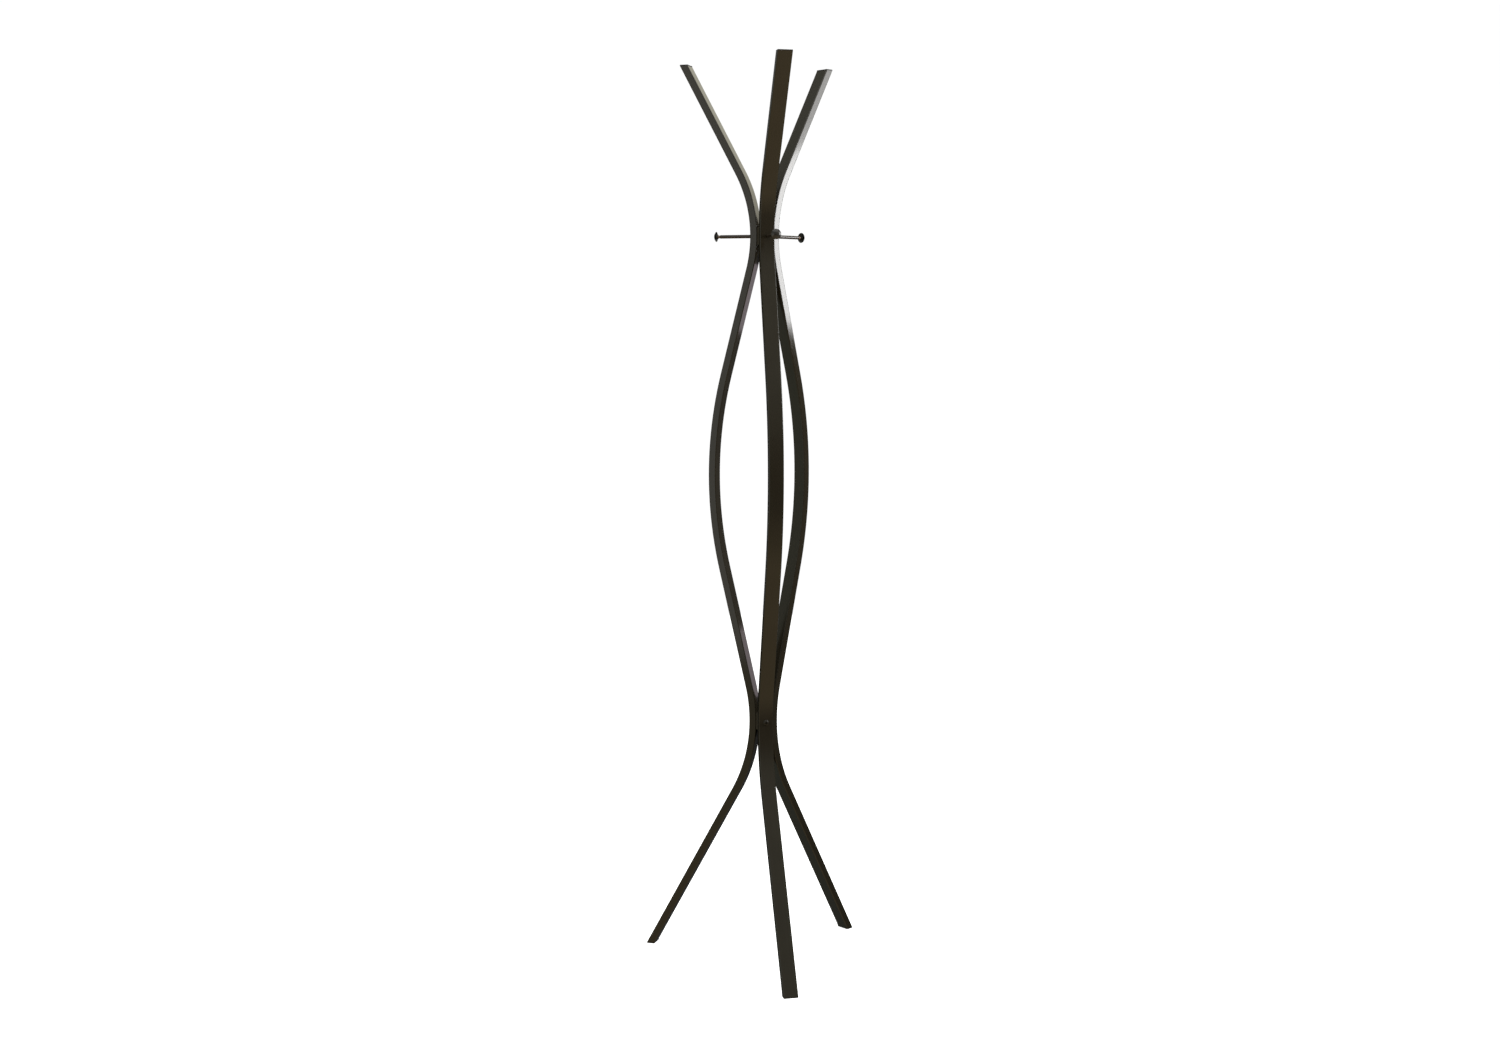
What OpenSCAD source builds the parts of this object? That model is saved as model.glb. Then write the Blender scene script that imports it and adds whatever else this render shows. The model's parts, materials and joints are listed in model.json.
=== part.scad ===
// Floor-standing coat rack.
//
// Three identical legs of flat steel tube stand a third of a turn apart. Each leg runs up from its
// foot to a narrow lower waist, swells out to a belly, comes in again at an upper waist and flares
// out to a tip. A three-sided hub joins the legs at each waist: bolts hold the lower one, and the
// threaded inner ends of the three coat pegs hold the upper one. Plastic plugs close the tube ends.
//
// The rack stands on Z = 0 with +Z up, and its front leg points along -Y. The origin is the middle
// of the rectangle that the rack covers on the floor, so the rack's own axis stands a little behind it.

/* [Overall] */
// Height of the rack, from the floor to its tips
rack_h = 1829; // [1735:1:2200]
// Distance from the rack's axis to the middle of each foot
foot_reach = 246; // [180:1:320]
// Distance from the rack's axis to the middle of each tip
tip_reach = 166; // [120:1:220]

/* [Leg curve] */
// Height of the lower waist
lower_waist_h = 500; // [400:1:520]
// Height of the belly
belly_h = 1006; // [990:1:1030]
// Distance from the rack's axis to the middle of the tube at the belly
belly_reach = 106.5; // [60:0.5:126]
// Height of the upper waist
upper_waist_h = 1488; // [1470:1:1560]
// Radius of the bend at the lower waist, to the middle of the tube
lower_bend_r = 315; // [200:5:400]
// Radius of the bend at the belly, to the middle of the tube
belly_bend_r = 830; // [500:5:980]
// Radius of the bend at the upper waist, to the middle of the tube
upper_bend_r = 265; // [150:5:300]

/* [Leg tube] */
// Width of the tube, across the face that points outwards
tube_w = 30; // [22:1:36]
// Depth of the tube, from its inner face to its outer face
tube_d = 15; // [12:0.5:20]
// Wall of the tube
tube_wall = 1.2; // [0.8:0.1:2]
// Outside radius of the tube's corners
tube_corner_r = 1.8; // [1.2:0.1:3]

/* [Hubs] */
// Distance from the rack's axis to the middle of each hub face, where a leg bears
hub_flat = 11; // [10:0.5:15]
// Distance from the rack's axis to the narrow corner faces that show between the legs
hub_corner = 17.5; // [15:0.5:19]
// Height of a hub
hub_h = 35; // [26:1:60]

/* [Lower bolts] */
// Thread diameter of the bolts at the lower waist
bolt_d = 6; // [4:1:8]
// Diameter of a bolt's button head
bolt_head_d = 12; // [11:0.5:16]
// Height of a bolt's button head
bolt_head_h = 3.2; // [2.8:0.1:5]
// Width across the flats of the hexagon socket in a bolt's head
bolt_socket_w = 4; // [2.5:0.5:5]
// Depth of the hexagon socket
bolt_socket_depth = 2; // [1:0.1:2.5]

/* [Pegs] */
// Distance from the rack's axis to the end of a peg
peg_reach = 106; // [80:1:160]
// Diameter of a peg's bar
peg_d = 7; // [6.5:0.5:12]
// Thread diameter of the peg's inner end, which screws into the upper hub
peg_stud_d = 5; // [4:0.5:5]
// Thread diameter of the peg's bare neck, which the cap screws onto
neck_d = 6; // [4:0.5:6.5]
// Length of neck that shows between the bar and the cap
neck_l = 4.8; // [2:0.2:8]

/* [Peg caps] */
// Diameter of a cap's rim
cap_d = 20.5; // [16:0.5:30]
// Height of a cap's dome, from its rim to its crown
cap_dome_h = 4.3; // [3:0.1:7]
// Wall of a cap's dome
cap_wall = 0.9; // [0.6:0.1:1.5]
// Diameter of the boss inside a cap
boss_d = 9; // [8.5:0.5:12]
// Distance that the boss stands out of the cap's open side
boss_out = 3.7; // [1:0.1:8]

/* [End plugs] */
// Thickness of a plug's flange, which covers the end of the tube
plug_flange = 2; // [1:0.5:5]
// Depth of a plug inside the tube
plug_l = 22; // [12:1:40]
// Gap between the core of a plug and the inside of the tube
plug_core_gap = 1.6; // [0.5:0.1:3]
// Thickness of each of the ribs that grip the inside of the tube
plug_rib = 1.2; // [0.8:0.1:2]
// Number of ribs round a plug
plug_ribs = 4; // [2:1:6]

/* [Fits] */
// Radial clearance of a bolt or a peg's inner end in its holes through a leg
hole_fit = 0.3; // [0.1:0.05:0.5]
// Clearance between a plug's ribs and the inside of the tube
plug_fit = 0.05; // [0:0.05:0.3]

/* [Hidden] */

// Turn of each leg's own +X about the rack's axis
FRONT = -90;
RIGHT = 30;
LEFT = 150;

brown_paint = [0.19, 0.16, 0.13];
black_plastic = [0.08, 0.08, 0.08];
small_fn = 48;
bend_fn = 720;
// Length by which a shape runs past what it cuts, or into what it joins
past = 1;
// A straight stretch of tube laps into the bends at its ends, and its wall is this much thinner on
// each side than theirs, so that neighbouring faces never nearly coincide
stretch_lap = 0.3;
stretch_step = 0.02;

// A leg's shape is drawn in its own plane, as [distance from the rack's axis, height] pairs. A
// heading is the angle between the tube and the vertical, positive where the tube leans outwards
// as it rises.
waist_reach = hub_flat + tube_d / 2;
face_gap = tube_d / 2;
foot_point = [foot_reach, plug_flange];
tip_point = [tip_reach, rack_h - plug_flange];
lower_centre = [waist_reach + lower_bend_r, lower_waist_h];
belly_centre = [belly_reach - belly_bend_r, belly_h];
upper_centre = [waist_reach + upper_bend_r, upper_waist_h];

function heading(v) = atan2(v[0], v[1]);
function along(h) = [sin(h), cos(h)];
// Unit vector square to a heading, on the side of the rack's axis
function axis_side(h) = [-cos(h), sin(h)];

// The straight stretches run from the foot to the lower bend, from there to the belly bend, from
// there to the upper bend and from there to the tip, each square to a radius where it meets a bend.
to_lower = lower_centre - foot_point;
to_belly = belly_centre - lower_centre;
to_upper = upper_centre - belly_centre;
to_tip = tip_point - upper_centre;
foot_heading = heading(to_lower) - asin(lower_bend_r / norm(to_lower));
rising_heading = heading(to_belly) + asin((lower_bend_r + belly_bend_r) / norm(to_belly));
closing_heading = heading(to_upper) - asin((belly_bend_r + upper_bend_r) / norm(to_upper));
tip_heading = heading(to_tip) + asin(upper_bend_r / norm(to_tip));

// How far a round face of radius a must stand off the middle of a hollow of radius r to clear it
function rise(a, r) = r - sqrt(r * r - a * a);
bolt_seat = waist_reach + face_gap + rise(bolt_head_d / 2, lower_bend_r - face_gap);
peg_seat = waist_reach + face_gap + rise(peg_d / 2, upper_bend_r - face_gap);

// The bottoms of a hub's three threaded holes stop short of each other round its middle
hub_web = 0.8;
thread_end_gap = 0.5;
function hole_bottom(d) = d / 2 / tan(60) + hub_web;

cap_rim = peg_reach - cap_dome_h;
boss_end = cap_rim - boss_out;
neck_start = boss_end - neck_l;
dome_r = (pow(cap_d / 2, 2) + pow(cap_dome_h, 2)) / (2 * cap_dome_h);
dome_centre = peg_reach - dome_r;
// The neck's thread stops inside the cap this far below the inside of the crown
neck_end_gap = 0.6;
neck_end = peg_reach - cap_wall - neck_end_gap;

// The foot plug's flange is the tube's outline as the floor cuts it
foot_flange_d = tube_d / cos(foot_heading);
tip_flange_d = tube_d / cos(tip_heading);

// Reach of a foot's rounded outline in a direction that is turned by a from its leg
function foot_extent(a) =
    foot_reach * cos(a) + (foot_flange_d / 2 - tube_corner_r) * abs(cos(a))
    + (tube_w / 2 - tube_corner_r) * abs(sin(a)) + tube_corner_r;
// The rack's axis stands this far behind the middle of the rack's extent along Y
axis_y = (foot_extent(0) - foot_extent(60)) / 2;

module in_leg_frame(turn) {
    translate([0, axis_y, 0])
        rotate([0, 0, turn])
            children();
}

// Rounded rectangle, d deep along X and w wide along Y
module rounded_rect(d, w, r) {
    square([d - 2 * r, w], center = true);
    square([d, w - 2 * r], center = true);
    for (x = [-1, 1], y = [-1, 1])
        translate([x * (d / 2 - r), y * (w / 2 - r)])
            circle(r = r, $fn = small_fn);
}

// Outline of the inside of the tube, smaller by gap all round
module bore_outline(gap) {
    inset = tube_wall + gap;
    rounded_rect(tube_d - 2 * inset, tube_w - 2 * inset, max(tube_corner_r - inset, 0.5));
}

// Section of the tube, with its wall thinner by step on each side
module tube_section(step) {
    difference() {
        rounded_rect(tube_d - 2 * step, tube_w - 2 * step, tube_corner_r - step);
        bore_outline(-step);
    }
}

// Straight tube between two points of a leg's plane, lapping into its neighbours
module straight(from, to) {
    translate([from[0], 0, from[1]])
        rotate([0, heading(to - from), 0])
            translate([0, 0, -stretch_lap])
                linear_extrude(norm(to - from) + 2 * stretch_lap)
                    tube_section(stretch_step);
}

// Bent tube about a centre, from angle a1 to angle a2, both counted from +X towards +Z
module bend(centre, r, a1, a2) {
    translate([centre[0], 0, centre[1]])
        rotate([90, 0, 0])
            rotate([0, 0, a1])
                rotate_extrude(angle = a2 - a1, $fn = bend_fn)
                    translate([r, 0])
                        tube_section(0);
}

// Whole bent tube of a leg, a little too long at both ends
module tube_run() {
    overrun = tube_d;
    straight(foot_point - overrun * along(foot_heading),
        lower_centre + lower_bend_r * axis_side(foot_heading));
    bend(lower_centre, lower_bend_r, 180 - rising_heading, 180 - foot_heading);
    straight(lower_centre + lower_bend_r * axis_side(rising_heading),
        belly_centre - belly_bend_r * axis_side(rising_heading));
    bend(belly_centre, belly_bend_r, -rising_heading, -closing_heading);
    straight(belly_centre - belly_bend_r * axis_side(closing_heading),
        upper_centre + upper_bend_r * axis_side(closing_heading));
    bend(upper_centre, upper_bend_r, 180 - tip_heading, 180 - closing_heading);
    straight(upper_centre + upper_bend_r * axis_side(tip_heading),
        tip_point + overrun * along(tip_heading));
}

// Rod along a leg's +X at height z, from x1 to x2
module radial_rod(d, x1, x2, z) {
    translate([x1, 0, z])
        rotate([0, 90, 0])
            cylinder(d = d, h = x2 - x1, $fn = small_fn);
}

module leg(turn) {
    hole_end = waist_reach + tube_d;
    color(brown_paint)
        in_leg_frame(turn)
            difference() {
                intersection() {
                    tube_run();
                    translate([0, -tube_w, plug_flange])
                        cube([foot_reach + tip_reach, 2 * tube_w, rack_h - 2 * plug_flange]);
                }
                radial_rod(bolt_d + 2 * hole_fit, 0, hole_end, lower_waist_h);
                radial_rod(peg_stud_d + 2 * hole_fit, 0, hole_end, upper_waist_h);
            }
}

// Spigot of a plug, drawn upwards: a core with ribs that fill the inside of the tube
module plug_spigot(depth) {
    rib_pitch = (plug_l - plug_rib) / plug_ribs;
    translate([0, 0, -depth])
        linear_extrude(plug_l + depth)
            bore_outline(plug_core_gap);
    for (i = [1:plug_ribs])
        translate([0, 0, i * rib_pitch])
            linear_extrude(plug_rib)
                bore_outline(plug_fit);
}

// Plug in an end of a leg's tube. The tube is cut level at height z. Side is 1 at the foot, where
// the spigot rises into the tube, and -1 at the tip, where it hangs down into it.
module end_plug(turn, reach, z, tube_heading, flange_d, side) {
    color(black_plastic)
        in_leg_frame(turn)
            translate([reach, 0, z]) {
                translate([0, 0, side > 0 ? -plug_flange : 0])
                    linear_extrude(plug_flange)
                        rounded_rect(flange_d, tube_w, tube_corner_r);
                intersection() {
                    mirror([0, 0, side > 0 ? 0 : 1])
                        rotate([0, side * tube_heading, 0])
                            plug_spigot(tube_d);
                    translate([-plug_l, -tube_w, side > 0 ? 0 : -2 * plug_l])
                        cube([2 * plug_l, 2 * tube_w, 2 * plug_l]);
                }
            }
}

module foot_plug(turn) {
    end_plug(turn, foot_reach, plug_flange, foot_heading, foot_flange_d, 1);
}

module tip_plug(turn) {
    end_plug(turn, tip_reach, rack_h - plug_flange, tip_heading, tip_flange_d, -1);
}

// Three-sided hub at height z, hollowed where each leg's bend of radius bend_r lies against it and
// drilled for three threads of diameter thread_d
module hub(z, bend_r, thread_d) {
    leg_face_r = bend_r + face_gap;
    face = hub_flat + rise(hub_h / 2, leg_face_r);
    color(brown_paint)
        translate([0, axis_y, z])
            difference() {
                translate([0, 0, -hub_h / 2])
                    linear_extrude(hub_h)
                        intersection() {
                            rotate(FRONT + 180)
                                circle(r = 2 * face, $fn = 3);
                            rotate(FRONT)
                                circle(r = 2 * hub_corner, $fn = 3);
                        }
                for (turn = [FRONT, RIGHT, LEFT])
                    rotate([0, 0, turn]) {
                        translate([hub_flat + leg_face_r, 0, 0])
                            rotate([90, 0, 0])
                                cylinder(r = leg_face_r, h = 4 * face, center = true, $fn = bend_fn);
                        radial_rod(thread_d, hole_bottom(thread_d), face + past, 0);
                    }
            }
}

// Button-head bolt through a leg into the lower hub
module lower_bolt(turn) {
    rim_h = 0.6;
    crown_h = bolt_head_h - rim_h;
    crown_r = (pow(bolt_head_d / 2, 2) + pow(crown_h, 2)) / (2 * crown_h);
    head_end = bolt_seat + bolt_head_h;
    color(brown_paint)
        in_leg_frame(turn)
            difference() {
                union() {
                    radial_rod(bolt_d, hole_bottom(bolt_d) + thread_end_gap, bolt_seat + past,
                        lower_waist_h);
                    intersection() {
                        translate([head_end - crown_r, 0, lower_waist_h])
                            rotate([0, 90, 0])
                                sphere(r = crown_r, $fn = small_fn);
                        radial_rod(bolt_head_d, bolt_seat, head_end, lower_waist_h);
                    }
                }
                translate([head_end - bolt_socket_depth, 0, lower_waist_h])
                    rotate([0, 90, 0])
                        cylinder(d = bolt_socket_w / cos(30), h = bolt_socket_depth + past, $fn = 6);
            }
}

// Peg: a thread through the leg into the upper hub, a bar that shoulders on the leg, and a neck
module peg(turn) {
    color(brown_paint)
        in_leg_frame(turn) {
            radial_rod(peg_stud_d, hole_bottom(peg_stud_d) + thread_end_gap, peg_seat + past, upper_waist_h);
            radial_rod(peg_d, peg_seat, neck_start, upper_waist_h);
            radial_rod(neck_d, neck_start - past, neck_end, upper_waist_h);
        }
}

// Domed cap with a threaded boss, turned about the peg. The outline is drawn with the peg's length
// along Y and its radius along X.
module peg_cap(turn) {
    color(brown_paint)
        in_leg_frame(turn)
            translate([0, 0, upper_waist_h])
                rotate([0, 90, 0])
                    rotate_extrude($fn = small_fn)
                        difference() {
                            intersection() {
                                translate([0, dome_centre])
                                    circle(r = dome_r, $fn = 4 * small_fn);
                                translate([0, boss_end])
                                    square([cap_d / 2, peg_reach - boss_end]);
                            }
                            difference() {
                                translate([0, dome_centre])
                                    circle(r = dome_r - cap_wall, $fn = 4 * small_fn);
                                translate([-boss_d / 2, boss_end - past])
                                    square([boss_d, peg_reach - boss_end]);
                            }
                            translate([-cap_d, 0])
                                square([cap_d, peg_reach]);
                            translate([boss_d / 2, boss_end - past])
                                square([cap_d, boss_out + past]);
                            translate([0, boss_end - past])
                                square([neck_d / 2, neck_end + neck_end_gap / 2 - boss_end + past]);
                        }
}

leg(FRONT);  // leg_front
leg(RIGHT);  // leg_right
leg(LEFT);  // leg_left
foot_plug(FRONT);  // foot_plug_front
foot_plug(RIGHT);  // foot_plug_right
foot_plug(LEFT);  // foot_plug_left
tip_plug(FRONT);  // tip_plug_front
tip_plug(RIGHT);  // tip_plug_right
tip_plug(LEFT);  // tip_plug_left
hub(lower_waist_h, lower_bend_r, bolt_d);  // lower_hub
hub(upper_waist_h, upper_bend_r, peg_stud_d);  // upper_hub
lower_bolt(FRONT);  // lower_bolt_front
lower_bolt(RIGHT);  // lower_bolt_right
lower_bolt(LEFT);  // lower_bolt_left
peg(FRONT);  // peg_front
peg(RIGHT);  // peg_right
peg(LEFT);  // peg_left
peg_cap(FRONT);  // peg_cap_front
peg_cap(RIGHT);  // peg_cap_right
peg_cap(LEFT);  // peg_cap_left
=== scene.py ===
"""The looks of a floor-standing coat rack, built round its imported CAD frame.

Three bent legs of flat tube are pinched together by a hub at each waist. Plastic plugs close the
ends of the tubes, button-head bolts hold the lower hub, and three coat pegs hold the upper one. Each
class below builds one kind of piece as a closed mesh, in metres and in the frame's own place, and
dresses it in its finish. Lengths are in metres and angles in radians.
"""

import json
import logging
import math
from collections.abc import Mapping, Sequence
from dataclasses import dataclass
from enum import Enum

import bmesh
import bpy
from mathutils import Matrix, Vector

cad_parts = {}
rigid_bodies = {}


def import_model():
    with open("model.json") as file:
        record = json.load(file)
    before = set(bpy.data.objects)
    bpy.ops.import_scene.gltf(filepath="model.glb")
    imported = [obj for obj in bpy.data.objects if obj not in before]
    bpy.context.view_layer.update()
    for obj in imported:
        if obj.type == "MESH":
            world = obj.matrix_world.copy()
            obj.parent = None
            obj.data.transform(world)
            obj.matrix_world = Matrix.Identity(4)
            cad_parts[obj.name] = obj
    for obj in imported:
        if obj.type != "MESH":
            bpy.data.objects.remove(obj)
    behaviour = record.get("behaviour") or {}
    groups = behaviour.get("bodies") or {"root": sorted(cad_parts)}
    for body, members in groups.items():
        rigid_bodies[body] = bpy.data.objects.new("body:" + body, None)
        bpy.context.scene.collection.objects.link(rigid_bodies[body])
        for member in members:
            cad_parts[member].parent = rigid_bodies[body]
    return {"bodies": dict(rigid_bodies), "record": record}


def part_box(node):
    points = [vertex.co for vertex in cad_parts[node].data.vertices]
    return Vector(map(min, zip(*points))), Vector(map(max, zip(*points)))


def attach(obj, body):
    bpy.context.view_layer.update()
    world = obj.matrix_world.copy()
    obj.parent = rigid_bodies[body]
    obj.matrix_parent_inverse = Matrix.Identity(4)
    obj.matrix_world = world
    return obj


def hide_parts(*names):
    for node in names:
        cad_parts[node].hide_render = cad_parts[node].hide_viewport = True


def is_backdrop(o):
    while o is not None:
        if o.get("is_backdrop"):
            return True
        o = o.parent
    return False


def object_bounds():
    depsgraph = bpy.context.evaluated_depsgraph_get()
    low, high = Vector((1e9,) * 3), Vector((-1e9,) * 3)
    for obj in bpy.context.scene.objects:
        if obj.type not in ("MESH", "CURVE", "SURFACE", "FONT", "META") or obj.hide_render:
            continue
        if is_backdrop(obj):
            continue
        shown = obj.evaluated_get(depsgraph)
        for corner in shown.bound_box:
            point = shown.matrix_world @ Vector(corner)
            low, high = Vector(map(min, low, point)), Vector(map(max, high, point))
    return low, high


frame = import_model()

log = logging.getLogger("coat_rack")

MM = 0.001
BODY = next(iter(frame["bodies"]))


class Side(Enum):
    """A leg's turn about the rack's axis, from +X."""

    FRONT = math.radians(-90)
    RIGHT = math.radians(30)
    LEFT = math.radians(150)

    @property
    def word(self) -> str:
        """The side's name as it stands in the names of nodes."""
        return self.name.lower()


class Combine(Enum):
    """The ways that one solid changes another."""

    CUT = "DIFFERENCE"
    JOIN = "UNION"


class End(Enum):
    """The two ends of a leg, as the direction in which a plug's spigot points."""

    FOOT = 1
    TIP = -1


# ----- Shader maths -----


# A Mix node's sockets for its two colours, and for the mixed one
COLOUR_INPUTS = (6, 7)
COLOUR_OUTPUT = 2
# The middle part of a noise pattern, which is stretched to make patches
PATCH_SPAN = (0.3, 0.7)


class Value:
    """A shader value that Python's own operators work on."""

    def __init__(self, shader: "Shader", socket: bpy.types.NodeSocket) -> None:
        """Wraps an output socket.

        Args:
            shader: The shader that the socket belongs to.
            socket: The output socket.
        """
        self.shader = shader
        self.socket = socket

    def _math(self, operation: str, first: "Value | float", second: "Value | float") -> "Value":
        """Adds a Math node.

        Args:
            operation: The node's operation.
            first: Its first value.
            second: Its second value.

        Returns:
            The node's result.
        """
        return self.shader.node(
            "ShaderNodeMath", {"operation": operation}, {0: first, 1: second}
        )

    def __add__(self, other: "Value | float") -> "Value":
        """Returns self + other."""
        return self._math("ADD", self, other)

    def __radd__(self, other: float) -> "Value":
        """Returns other + self."""
        return self._math("ADD", other, self)

    def __sub__(self, other: "Value | float") -> "Value":
        """Returns self - other."""
        return self._math("SUBTRACT", self, other)

    def __rsub__(self, other: float) -> "Value":
        """Returns other - self."""
        return self._math("SUBTRACT", other, self)

    def __mul__(self, other: "Value | float") -> "Value":
        """Returns self * other."""
        return self._math("MULTIPLY", self, other)

    def __rmul__(self, other: float) -> "Value":
        """Returns other * self."""
        return self._math("MULTIPLY", other, self)


class Shader:
    """A node tree under construction, for a material or for the world."""

    def __init__(self, tree: bpy.types.NodeTree) -> None:
        """Empties a node tree.

        Args:
            tree: The tree to build in.
        """
        self.tree = tree
        self.tree.nodes.clear()

    def node(
        self,
        kind: str,
        settings: Mapping[str, object] | None = None,
        inputs: Mapping[int | str, object] | None = None,
        output: int | str = 0,
    ) -> Value:
        """Adds a node.

        Args:
            kind: The node's type.
            settings: The node's own properties, which are set first.
            inputs: Values or links for its sockets, by place or name.
            output: The socket that the result reads.

        Returns:
            The chosen output.
        """
        made = self.tree.nodes.new(kind)
        for name, setting in (settings or {}).items():
            setattr(made, name, setting)
        for name, value in (inputs or {}).items():
            if isinstance(value, Value):
                self.tree.links.new(value.socket, made.inputs[name])
            else:
                made.inputs[name].default_value = value
        chosen = made.outputs[output] if len(made.outputs) else None
        return Value(self, chosen)

    def noise(self, size: float, detail: float = 2.0) -> Value:
        """Adds a cloudy pattern that is fixed to the object.

        Args:
            size: The width of one cloud.
            detail: How many finer patterns lie on it.

        Returns:
            A value from 0 to 1, mostly near the middle.
        """
        place = self.node("ShaderNodeTexCoord", output="Object")
        return self.node(
            "ShaderNodeTexNoise", {}, {"Vector": place, "Scale": 1 / size, "Detail": detail}
        )

    def patches(self, size: float, detail: float = 3.0) -> Value:
        """Adds soft patches, which run all the way from 0 to 1.

        Args:
            size: The width of one patch.
            detail: How many finer patterns lie on it.

        Returns:
            A value from 0 to 1.
        """
        return self.contrast(self.noise(size, detail), *PATCH_SPAN)

    def bump(self, height: Value, depth: float) -> Value:
        """Adds fine relief.

        Args:
            height: The relief, from 0 to 1.
            depth: Its depth.

        Returns:
            The normal of the surface with its relief.
        """
        return self.node("ShaderNodeBump", {}, {"Distance": depth, "Height": height})

    def contrast(self, value: Value, low: float, high: float) -> Value:
        """Stretches a value so that it runs from 0 to 1.

        Args:
            value: The value to stretch.
            low: What becomes 0.
            high: What becomes 1.

        Returns:
            The stretched value, held between 0 and 1.
        """
        return self.node(
            "ShaderNodeMapRange",
            {"clamp": True},
            {"Value": value, "From Min": low, "From Max": high},
        )

    def blend(
        self, factor: Value, first: "Value | Sequence[float]", second: "Value | Sequence[float]"
    ) -> Value:
        """Mixes two colours.

        Args:
            factor: 0 for the first colour and 1 for the second.
            first: The first colour, or its red, green and blue.
            second: The second colour, or its red, green and blue.

        Returns:
            The mixed colour.
        """
        ends = [end if isinstance(end, Value) else (*end, 1.0) for end in (first, second)]
        return self.node(
            "ShaderNodeMix",
            {"data_type": "RGBA"},
            {"Factor": factor, **dict(zip(COLOUR_INPUTS, ends))},
            output=COLOUR_OUTPUT,
        )


# ----- Finishes -----


@dataclass(frozen=True)
class Finish:
    """A surface finish. Each kind of finish says how its surface looks."""

    name: str

    def surface(self, shader: Shader) -> dict[str, object]:
        """Says what feeds the surface.

        Args:
            shader: The material's shader.

        Returns:
            The sockets of a Principled node, by name.
        """
        raise NotImplementedError

    def material(self) -> bpy.types.Material:
        """Returns the finish's material, which is made on its first use."""
        made = bpy.data.materials.get(self.name)
        if made is None:
            made = bpy.data.materials.new(self.name)
            made.use_nodes = True
            shader = Shader(made.node_tree)
            surface = shader.node("ShaderNodeBsdfPrincipled", {}, self.surface(shader))
            shader.node("ShaderNodeOutputMaterial", {}, {"Surface": surface})
        return made


@dataclass(frozen=True)
class PowderCoat(Finish):
    """Glossy baked paint over steel, with the fine waviness that such paint dries with."""

    colour: tuple[float, float, float]
    deep_colour: tuple[float, float, float]
    roughness: float
    roughness_spread: float = 0.035
    specular: float = 0.32
    cloud_size: float = 60 * MM
    cloud_share: float = 0.7
    speck_size: float = 0.9 * MM
    speck_share: float = 0.3
    peel_size: float = 2.2 * MM
    peel_depth: float = 0.006 * MM

    def surface(self, shader: Shader) -> dict[str, object]:
        """Says what feeds the paint's surface.

        Args:
            shader: The material's shader.

        Returns:
            The sockets of a Principled node, by name.
        """
        cloud = shader.patches(self.cloud_size)
        speck = shader.patches(self.speck_size, 1.0)
        shade = self.cloud_share * cloud + self.speck_share * speck
        return {
            "Base Color": shader.blend(shade, self.deep_colour, self.colour),
            "Roughness": self.roughness + self.roughness_spread * cloud,
            "Specular IOR Level": self.specular,
            "Normal": shader.bump(shader.noise(self.peel_size, 1.0), self.peel_depth),
        }


@dataclass(frozen=True)
class MouldedPlastic(Finish):
    """Black injection-moulded plastic with a fine spark-eroded grain."""

    colour: tuple[float, float, float]
    pale_colour: tuple[float, float, float]
    roughness: float = 0.42
    roughness_spread: float = 0.12
    flow_size: float = 12 * MM
    grain_size: float = 0.35 * MM
    grain_depth: float = 0.016 * MM

    def surface(self, shader: Shader) -> dict[str, object]:
        """Says what feeds the plastic's surface.

        Args:
            shader: The material's shader.

        Returns:
            The sockets of a Principled node, by name.
        """
        grain = shader.noise(self.grain_size)
        flow = shader.patches(self.flow_size, 2.0)
        return {
            "Base Color": shader.blend(flow, self.colour, self.pale_colour),
            "Roughness": self.roughness + self.roughness_spread * grain,
            "Normal": shader.bump(grain, self.grain_depth),
        }


@dataclass(frozen=True)
class BareThread(Finish):
    """Plated steel of a thread that was masked off when its rod was painted."""

    colour: tuple[float, float, float]
    dull_colour: tuple[float, float, float]
    roughness: float = 0.32
    roughness_spread: float = 0.16
    stain_size: float = 1.6 * MM
    scratch_size: float = 0.25 * MM
    scratch_depth: float = 0.005 * MM

    def surface(self, shader: Shader) -> dict[str, object]:
        """Says what feeds the thread's surface.

        Args:
            shader: The material's shader.

        Returns:
            The sockets of a Principled node, by name.
        """
        stain = shader.patches(self.stain_size)
        scratch = shader.noise(self.scratch_size, 1.0)
        return {
            "Base Color": shader.blend(stain, self.dull_colour, self.colour),
            "Metallic": 1.0,
            "Roughness": self.roughness + self.roughness_spread * stain,
            "Normal": shader.bump(scratch, self.scratch_depth),
        }


@dataclass(frozen=True)
class StudioPaper(Finish):
    """White background paper that glows enough to stay white wherever it is seen."""

    colour: tuple[float, float, float] = (0.80, 0.80, 0.80)
    pale_colour: tuple[float, float, float] = (0.82, 0.82, 0.82)
    roughness: float = 0.9
    specular: float = 0.1
    glow: float = 0.95
    fibre_size: float = 40 * MM

    def surface(self, shader: Shader) -> dict[str, object]:
        """Says what feeds the paper's surface.

        Args:
            shader: The material's shader.

        Returns:
            The sockets of a Principled node, by name.
        """
        fibres = shader.patches(self.fibre_size)
        return {
            "Base Color": shader.blend(fibres, self.colour, self.pale_colour),
            "Roughness": self.roughness,
            "Specular IOR Level": self.specular,
            "Emission Color": (1.0, 1.0, 1.0, 1.0),
            "Emission Strength": self.glow,
        }


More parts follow.
